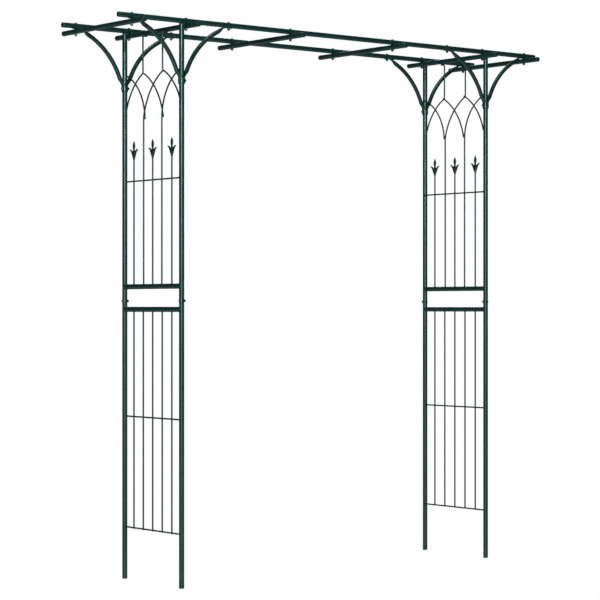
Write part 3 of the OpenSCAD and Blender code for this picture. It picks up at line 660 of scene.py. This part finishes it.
# ---- Drop rods ---------------------------------------------------------------------------
# Two rods carry each panel's tracery: they rise from the crossing of the arcs and bend over
# tightly under the crossbar that lies beside the posts, where they are welded to its underside.
hook_r = 6.0
for hand, side in (("left", -1), ("right", 1)):
    low, high = box_mm("drop_rods_" + hand)
    bar_low, bar_high = box_mm("crossbar_%s_panel" % hand)
    x = side * (max(abs(low[0]), abs(high[0])) - rod_r)
    hook_z = bar_low[2] - rod_r + 0.2
    bar_x = (bar_low[0] + bar_high[0]) / 2
    drop_y = high[1] - rod_r
    turn = np.linspace(0, np.pi / 2, 12)
    rise = np.array([low[2] - 1.5, low[2] + 3, hook_z - hook_r - 2])
    u = np.concatenate([np.zeros(3), hook_r * (1 - np.cos(turn)), abs(x - bar_x)
                        + np.array([-2.4, -0.9, -0.2, 0.0])])
    z = np.concatenate([rise, hook_z - hook_r + hook_r * np.sin(turn), np.full(4, hook_z)])
    travel_u = np.concatenate([np.zeros(3), np.sin(turn), np.ones(4)])
    travel_z = np.concatenate([np.ones(3), np.cos(turn), np.zeros(4)])
    thin = np.concatenate([np.full(len(u) - 3, rod_r), rod_r * np.array([0.9, 0.7, 0.45])])[None, :, None]
    path = np.stack([np.stack([x - side * u, np.full(u.shape, y), z], -1) for y in (-drop_y, drop_y)])
    travel = np.stack([-side * travel_u, np.zeros(u.shape), travel_z], -1)
    a = np.arange(rod_sides) * 2 * np.pi / rod_sides
    worn = np.concatenate([np.zeros(3), 0.5 * np.sin(2 * turn), [0, 0.3, 0.6, 0.6]])[None, :, None]
    rods = carried(path, np.broadcast_to(travel, path.shape), np.array([0, 1.0, 0]), thin * np.cos(a),
                   thin * np.sin(a), worn)
    add_piece("drops_" + hand, [rods], rod_coat_painted_shade, ["drop_rods_" + hand])
    joints = [(bar_x, y, hook_z + rod_r - 0.2) for y in (-drop_y, drop_y)]
    add_piece("drop_welds_" + hand, [tack_welds(joints, (4.2, 3.4, 1.5))], weld_coat, [])

# ---- Crossbars ---------------------------------------------------------------------------
# Six tubes lie under the two beams. A shallow seat is pressed into the top of each where the
# beam rests, and one bolt goes through both tubes there. The inner pair also touch the posts.
beam_low, beam_high = box_mm("beam_front_middle")
beam_z = (beam_low[2] + beam_high[2]) / 2
beam_front, beam_back = middle("beam_front_middle")[1], middle("beam_back_middle")[1]


def seated_tube(x, z, a, b, press_r):
    """Tube along Y whose top is pressed down under each beam: at every point within the beam's
    width, height <= beam centre - sqrt(press radius^2 - (y - beam y)^2)."""
    q = np.linspace(0, np.pi / 2, 4)
    ends_a, ends_b = a + 0.6 * (1 - np.cos(q)), (b - 0.6 * (1 - np.cos(q)))[::-1]
    near = np.array([-7, -5.5, -4.5, -4, -3.5, -3, -2.2, -1.1, 0, 1.1, 2.2, 3, 3.5, 4, 4.5, 5.5, 7])
    y = np.concatenate([ends_a, [a + 3], beam_front + near, beam_back + near, [b - 3], ends_b])
    radius = np.full(y.shape, tube_r)
    radius[:4] = tube_r - 0.6 * (1 - np.sin(q))
    radius[-4:] = radius[:4][::-1]
    angle = np.arange(tube_sides) * 2 * np.pi / tube_sides
    points = np.stack([x - radius[:, None] * np.cos(angle), np.broadcast_to(y[:, None], (len(y), tube_sides)),
                       z + radius[:, None] * np.sin(angle)], -1)
    gap = np.minimum(np.abs(y - beam_front), np.abs(y - beam_back))
    limit = beam_z - np.sqrt(np.maximum(press_r ** 2 - gap ** 2, 0))
    limit = np.where(gap < 7, limit, 1e6)[:, None]
    pressed = np.clip((points[..., 2] - limit) / 0.4, 0, 1)
    points[..., 2] = np.minimum(points[..., 2], limit)
    worn = 0.7 * pressed
    worn[:4] = worn[-4:] = 0.9
    return skin(points[None], worn[None])


for node in [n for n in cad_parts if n.startswith("crossbar_")]:
    low, high = box_mm(node)
    x, _, z = middle(node)
    z = low[2] + tube_r
    press_r = beam_z - (z + tube_r) + 0.8 if beam_z - (z + tube_r) > tube_r else tube_r
    add_piece(node.replace("crossbar", "crosstube"), [seated_tube(x, z, low[1], high[1], press_r)],
              tube_coat, [node])

seams = []
for hand, side in (("left", -1), ("right", 1)):
    bar_low, bar_high = box_mm("crossbar_%s_panel" % hand)
    post_x = middle("upper_post_front_" + hand)[0]
    bar_z = bar_low[2] + tube_r
    seams += [(post_x - side * tube_r, y, bar_z) for y in (post_front, post_back)]
add_piece("post_head_welds", [tack_welds(seams, (1.6, 5.0, 5.0))], weld_coat, [])

# ---- Beams -------------------------------------------------------------------------------
# Two long tubes, each in three lengths: the outer lengths slide over the reduced ends of the
# middle one, which leaves a fine seam just inside each middle crossbar.
for row in ("front", "back"):
    for part in ("left", "middle", "right"):
        node = "beam_%s_%s" % (row, part)
        low, high = box_mm(node)
        a, b = low[0], high[0]
        if part == "middle":
            a, b = box_mm("beam_%s_left" % row)[1][0], box_mm("beam_%s_right" % row)[0][0]
        along, size, worn = cut_tube(a, b, tube_r, 0.7)
        tube = turned((0, middle(node)[1], beam_z), (1, 0, 0), along, size, wear=worn)
        add_piece("longtube_%s_%s" % (row, part), [tube], tube_coat, [node])

# ---- Brackets ----------------------------------------------------------------------------
# Eight bends of 16 mm tube, two at the head of each post. The lower end is pressed flat round
# the post, the upper end is pressed into a thin tongue that cups the underside of the beam.
bracket_coat = make_coat("bracket_powder_coat", (0.0020, 0.0230, 0.0190, 1), (0.0038, 0.0310, 0.0260, 1),
                         (0.056, 0.142, 0.118, 1), 860.0, 0.30, 0.43, 0.65, 0.10, 14.0, 200.0)
bend_r, bend_x = 278.0, 282.0
bracket_r, foot_shell, tongue_shell = 8.0, 3.0, 1.8
foot_angle, tongue_angle = math.radians(76), math.asin(8 / 11.3)


def ease(value, a, b):
    """Smooth step from 0 at a to 1 at b."""
    q = np.clip((value - a) / (b - a), 0, 1)
    return q * q * (3 - 2 * q)


def pressed_bend(post, turn_x, foot_low, foot_high, reach, end):
    """Bracket: rings of 40 points. Low down they are crescents round the post, radius 9.5 to
    12.5; along the bend they are circles of radius 8 about (282 - 278 cos b, 278 sin b); under
    the beam they are crescents round its underside, radius 9.5 to 11.3. Rings are blended with
    a smooth step, kept outside both tubes, and the tongue's end is narrowed to a half circle."""
    bend_z = beam_z + 0.5 - bend_r
    lift = np.concatenate([foot_low + np.array([0, 0.25, 0.8, 2]),
                           np.linspace(foot_low + 5, foot_high - 6, 4),
                           np.linspace(foot_high - 4, foot_high + 30, 14)])
    b_low = np.arcsin((lift - bend_z) / bend_r)
    b_mid = np.linspace(b_low[-1] + 0.05, math.acos((bend_x - 145) / bend_r), 20)
    run = np.concatenate([np.linspace(150, 198, 17), np.linspace(201, reach + 8, 5),
                          reach + end * np.sin(np.radians([45, 55, 64, 72, 79, 84, 88, 89.6]))])
    b_top = np.arccos(np.clip((bend_x - np.minimum(run, 205)) / bend_r, -1, 1))
    b = np.concatenate([b_low, b_mid, b_top])[:, None]
    height = np.concatenate([lift, np.full(20, 1e4), np.full(len(run), 1e4)])[:, None]
    out = np.concatenate([np.zeros(len(lift) + 20), run])[:, None]
    k = np.arange(20) / 19.0
    far, near = np.radians(-88 + 176 * k), np.radians(92 + 176 * k)
    a = np.concatenate([far, near])[None, :]
    centre_u, centre_z = bend_x - bend_r * np.cos(b), bend_z + bend_r * np.sin(b)
    tube_u = centre_u + bracket_r * np.cos(a) * np.cos(b)
    tube_v = bracket_r * np.sin(a) * np.ones_like(b)
    tube_z = centre_z - bracket_r * np.cos(a) * np.sin(b)
    sweep_f = np.concatenate([-1 + 2 * k, 1 - 2 * k])[None, :]
    shell_f = np.concatenate([np.full(20, tube_r + foot_shell), np.full(20, tube_r + 0.05)])[None, :]
    rim = np.concatenate([[0.8, 0.35, 0.1, 0.0], np.zeros(len(b) - 4)])[:, None]
    shell_f = shell_f - rim * (shell_f > tube_r + 1)
    foot_u, foot_v = shell_f * np.cos(sweep_f * foot_angle), shell_f * np.sin(sweep_f * foot_angle)
    foot_z = np.where(height < 5e3, height, 0) + 0 * foot_u
    shell_t = np.concatenate([np.full(20, tube_r + tongue_shell), np.full(20, tube_r + 0.05)])[None, :]
    tongue_v = shell_t * np.sin(sweep_f * tongue_angle)
    tongue_z = beam_z - shell_t * np.cos(sweep_f * tongue_angle)
    tongue_u = out + 0 * tongue_v
    grow = ease(height, foot_high - 8, foot_high + 22)
    flat = np.where(out > 0, ease(out, 160, 198), 0.0)
    u = foot_u * (1 - grow) + tube_u * grow
    v = foot_v * (1 - grow) + tube_v * grow
    z = foot_z * (1 - grow) + tube_z * grow
    u = u * (1 - flat) + tongue_u * flat
    v = v * (1 - flat) + tongue_v * flat
    z = z * (1 - flat) + tongue_z * flat
    wide = np.sqrt(np.maximum(end ** 2 - np.maximum(out - reach, 0) ** 2, 0.01))
    v = np.where(out > reach, np.clip(v, -wide, wide), v)
    hug = np.sqrt(np.maximum((tube_r + 0.05) ** 2 - v ** 2, 0))
    u = np.where((out == 0) & (np.abs(v) < tube_r), np.maximum(u, hug), u)
    z = np.where((out > 0) & (np.abs(v) < tube_r), np.minimum(z, beam_z - hug), z)
    worn = np.zeros(u.shape)
    worn[:3] = 0.9
    worn[-6:] = 0.8
    worn += (np.abs(sweep_f) > 0.93) * ((1 - grow) + flat) * 0.6
    worn += (0.5 * np.sin(np.pi * flat) ** 2 * (np.cos(a) > 0.2)
             + 0.4 * np.sin(np.pi * grow) ** 2 * (np.cos(a) > 0.2))
    points = np.stack([post[0] + turn_x * u, post[1] + v * turn_x, z], -1)
    return skin(points[None], np.clip(worn, 0, 1)[None])


for row in ("front", "back"):
    for hand, side in (("left", -1), ("right", 1)):
        post = middle("upper_post_%s_%s" % (row, hand))
        for where, turn_x in (("outer", side), ("inner", -side)):
            node = "bracket_%s_%s_%s" % (row, hand, where)
            low, high = box_mm(node)
            tongue_tip = abs((high[0] if turn_x > 0 else low[0]) - post[0])
            bend = pressed_bend(post, turn_x, low[2], low[2] + 27, tongue_tip - 13.0, 13.0)
            add_piece("corner_%s_%s_%s" % (row, hand, where), [bend], bracket_coat, [node])

# ---- Bolts and nuts ----------------------------------------------------------------------
# M6 bolts with low domed heads and plain hexagon nuts, coated with the arch: one through each
# crossing and each inward tongue, one through both feet at each post, one through each splice.
fastener_coat = make_coat("fastener_coat", (0.0015, 0.0170, 0.0142, 1), (0.0032, 0.0240, 0.0205, 1),
                          (0.085, 0.155, 0.132, 1), 1100.0, 0.32, 0.46, 0.8, 0.12, 40.0, 500.0)
thread_pitch = 1.0


def domed_bolts(heads, faces, direction):
    """Bolts: heads are the points under each head, faces the points where the nuts bear. Radius
    along the axis: thread 2.8 + 0.2 cos(2 pi (t / pitch) - a) on the tip, 3 in the shank, then
    the head, radius = sqrt(dome^2 - (t - dome centre)^2), 11 mm wide and 3.6 mm high."""
    direction = np.asarray(direction, float)
    heads, faces = np.atleast_2d(heads), np.atleast_2d(faces)
    length = (heads - faces) @ direction
    tip = np.concatenate([[0, 0.5, 1.0], np.arange(1.12, 3.4, 0.125)])
    q = np.linspace(0, 1, 9)[1:]
    rise = 3.6 * np.sin(q * np.pi / 2)
    dome_h = 3.7
    dome_r = (5.5 ** 2 + dome_h ** 2) / (2 * dome_h)
    dome = np.sqrt(np.maximum(dome_r ** 2 - (rise - dome_h + dome_r) ** 2, 0.3))
    along = np.concatenate([tip, [8.5], np.zeros(len(rise) + 3)])
    radius = np.concatenate([[2.0, 2.5, 2.85], np.full(len(tip) - 3, 2.8), [3.0], [3.0, 5.1, 5.5], dome])
    spots = np.broadcast_to(along, (len(heads), len(along))).copy()
    spots[:, len(tip) + 1:] = length[:, None] + 8 + np.concatenate([[-0.6, -0.6, 0.15], rise])[None]
    angle = np.arange(24) * 2 * np.pi / 24
    wave = 0.2 * np.cos(2 * np.pi * along[:, None] / thread_pitch - angle[None, :])
    wave[:3] = wave[len(tip):] = 0
    size = radius[:, None] + wave
    across = np.array([1.0, 0, 0]) if abs(direction[2]) > 0.5 else np.array([0, 0, 1.0])
    path = (faces - 8 * direction)[:, None] + spots[..., None] * direction
    worn = np.concatenate([np.full(len(tip), 0.5), np.zeros(2), [0.9, 0.9], np.linspace(0.7, 0.0, len(rise))])
    return carried(path, direction, across, (size * np.cos(angle))[None], (size * np.sin(angle))[None],
                   worn[None, :, None])


def hexagon_nuts(faces, direction):
    """Nuts below the given bearing points: radius at angle a = half width / cos(((a + 30) mod 60)
    - 30 degrees), held to a chamfer circle at the ends, 10 mm across flats and 5 mm high."""
    direction = np.asarray(direction, float)
    faces = np.atleast_2d(faces)
    along = np.array([-5.0, -4.7, -4.35, -3.9, -2.0, 0.0, 1.5])
    chamfer = np.array([4.7, 5.15, 5.5, 6.0, 6.0, 6.0, 6.0])
    angle = np.arange(48) * 2 * np.pi / 48
    flat = 5.0 / np.cos(np.mod(angle + np.pi / 6, np.pi / 3) - np.pi / 6)
    size = np.minimum(flat[None, :], chamfer[:, None])
    across = np.array([1.0, 0, 0]) if abs(direction[2]) > 0.5 else np.array([0, 0, 1.0])
    path = faces[:, None] + along[None, :, None] * direction
    worn = (flat > 5.6)[None, None, :] * 0.9 + np.array([0.7, 0.7, 0.4, 0, 0, 0, 0])[None, :, None]
    return carried(path, direction, across, (size * np.cos(angle))[None], (size * np.sin(angle))[None],
                   np.clip(worn, 0, 1))


crossing_x = sorted({round(float(middle(n)[0]), 2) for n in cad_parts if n.startswith("crossbar_")})
top_z = beam_z + tube_r
for label, rows_x, under in (("crossing", crossing_x, None),
                             ("bracket_top", None, beam_z - tube_r - tongue_shell)):
    if rows_x is None:
        rows_x = [round(float(v), 2) for v in (middle("bracket_top_nuts")[0]
                                               - (box_mm("bracket_top_bolts")[1][0] - 5.5),
                                               box_mm("bracket_top_bolts")[1][0] - 5.5)]
    heads, faces = [], []
    for y in (beam_front, beam_back):
        for x in rows_x:
            if under is None:
                node = min((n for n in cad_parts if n.startswith("crossbar_")),
                           key=lambda n: abs(middle(n)[0] - x))
                face = box_mm(node)[0][2]
            else:
                face = under
            heads.append((x, y, top_z))
            faces.append((x, y, face))
    add_piece(label + "_screws", [domed_bolts(heads, faces, (0, 0, 1))], fastener_coat,
              [label + "_bolts"])
    add_piece(label + "_hexes", [hexagon_nuts(faces, (0, 0, 1))], fastener_coat,
              [label + "_nuts"])

for label, seat in (("bracket_foot", tube_r + foot_shell), ("splice", tube_r)):
    bolt_z = middle(label + "_bolts")[2]
    screws, hexes = [], []
    for side in (-1, 1):
        posts = [middle("upper_post_%s_%s" % (row, "left" if side < 0 else "right"))
                 for row in ("front", "back")]
        heads = [(p[0] + side * seat, p[1], bolt_z) for p in posts]
        faces = [(p[0] - side * seat, p[1], bolt_z) for p in posts]
        screws.append(domed_bolts(heads, faces, (side, 0, 0)))
        hexes.append(hexagon_nuts(faces, (side, 0, 0)))
    add_piece(label + "_screws", screws, fastener_coat, [label + "_bolts"])
    add_piece(label + "_hexes", hexes, fastener_coat, [label + "_nuts"])

# ---- End caps ----------------------------------------------------------------------------
# Moulded dark green plastic caps pushed into every open tube: sixteen on the overhead tubes,
# four on the post heads and four as feet. Each has a soft edge and a shallow moulding dimple.
cap_plastic = make_coat("cap_plastic", (0.0022, 0.0120, 0.0102, 1), (0.0038, 0.0165, 0.0140, 1),
                        (0.036, 0.070, 0.060, 1), 1500.0, 0.5, 0.66, 0.5, 0.16, 60.0, 700.0, 0.35)


def push_caps(seats, direction):
    """Caps turned about the tube's axis: a plug 8.4 mm in radius, then a lip 9.5 mm in radius
    and 2 mm thick with a 0.8 mm quarter circle edge and a dimple 0.25 mm deep in its middle."""
    q = np.linspace(0, np.pi / 2, 6)
    along = np.concatenate([[-9.0, -8.6, -0.1, 0.0, 0.05], 1.2 + 0.8 * np.sin(q), [1.98, 1.78, 1.75]])
    radius = np.concatenate([[7.6, 8.2, 8.2, 9.3, 9.5], 8.7 + 0.8 * np.cos(q), [3.4, 2.9, 0.3]])
    worn = np.concatenate([np.zeros(3), [0.3, 0.3], np.full(6, 0.9), [0.5, 0.2, 0]])
    return turned(seats, direction, along, radius, tube_sides, worn)


cap_shells = []
for node in [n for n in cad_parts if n.startswith("crossbar_")]:
    low, high = box_mm(node)
    x, z = middle(node)[0], low[2] + tube_r
    cap_shells += [push_caps((x, high[1], z), (0, 1, 0)), push_caps((x, low[1], z), (0, -1, 0))]
for row in ("front", "back"):
    y = middle("beam_%s_middle" % row)[1]
    cap_shells += [push_caps((box_mm("beam_%s_right" % row)[1][0], y, beam_z), (1, 0, 0)),
                   push_caps((box_mm("beam_%s_left" % row)[0][0], y, beam_z), (-1, 0, 0))]
add_piece("tube_end_caps", cap_shells, cap_plastic, ["end_caps"])
head_shells, foot_shells = [], []
for place in ("front_left", "back_left", "front_right", "back_right"):
    low, high = box_mm("upper_post_" + place)
    centre = middle("upper_post_" + place)
    head_shells.append(push_caps((centre[0], centre[1], high[2]), (0, 0, 1)))
    foot_shells.append(push_caps((centre[0], centre[1], box_mm("lower_post_" + place)[0][2]), (0, 0, -1)))
add_piece("post_head_caps", head_shells, cap_plastic, ["post_top_caps"])
add_piece("post_foot_caps", foot_shells, cap_plastic, ["foot_caps"])

low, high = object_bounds()
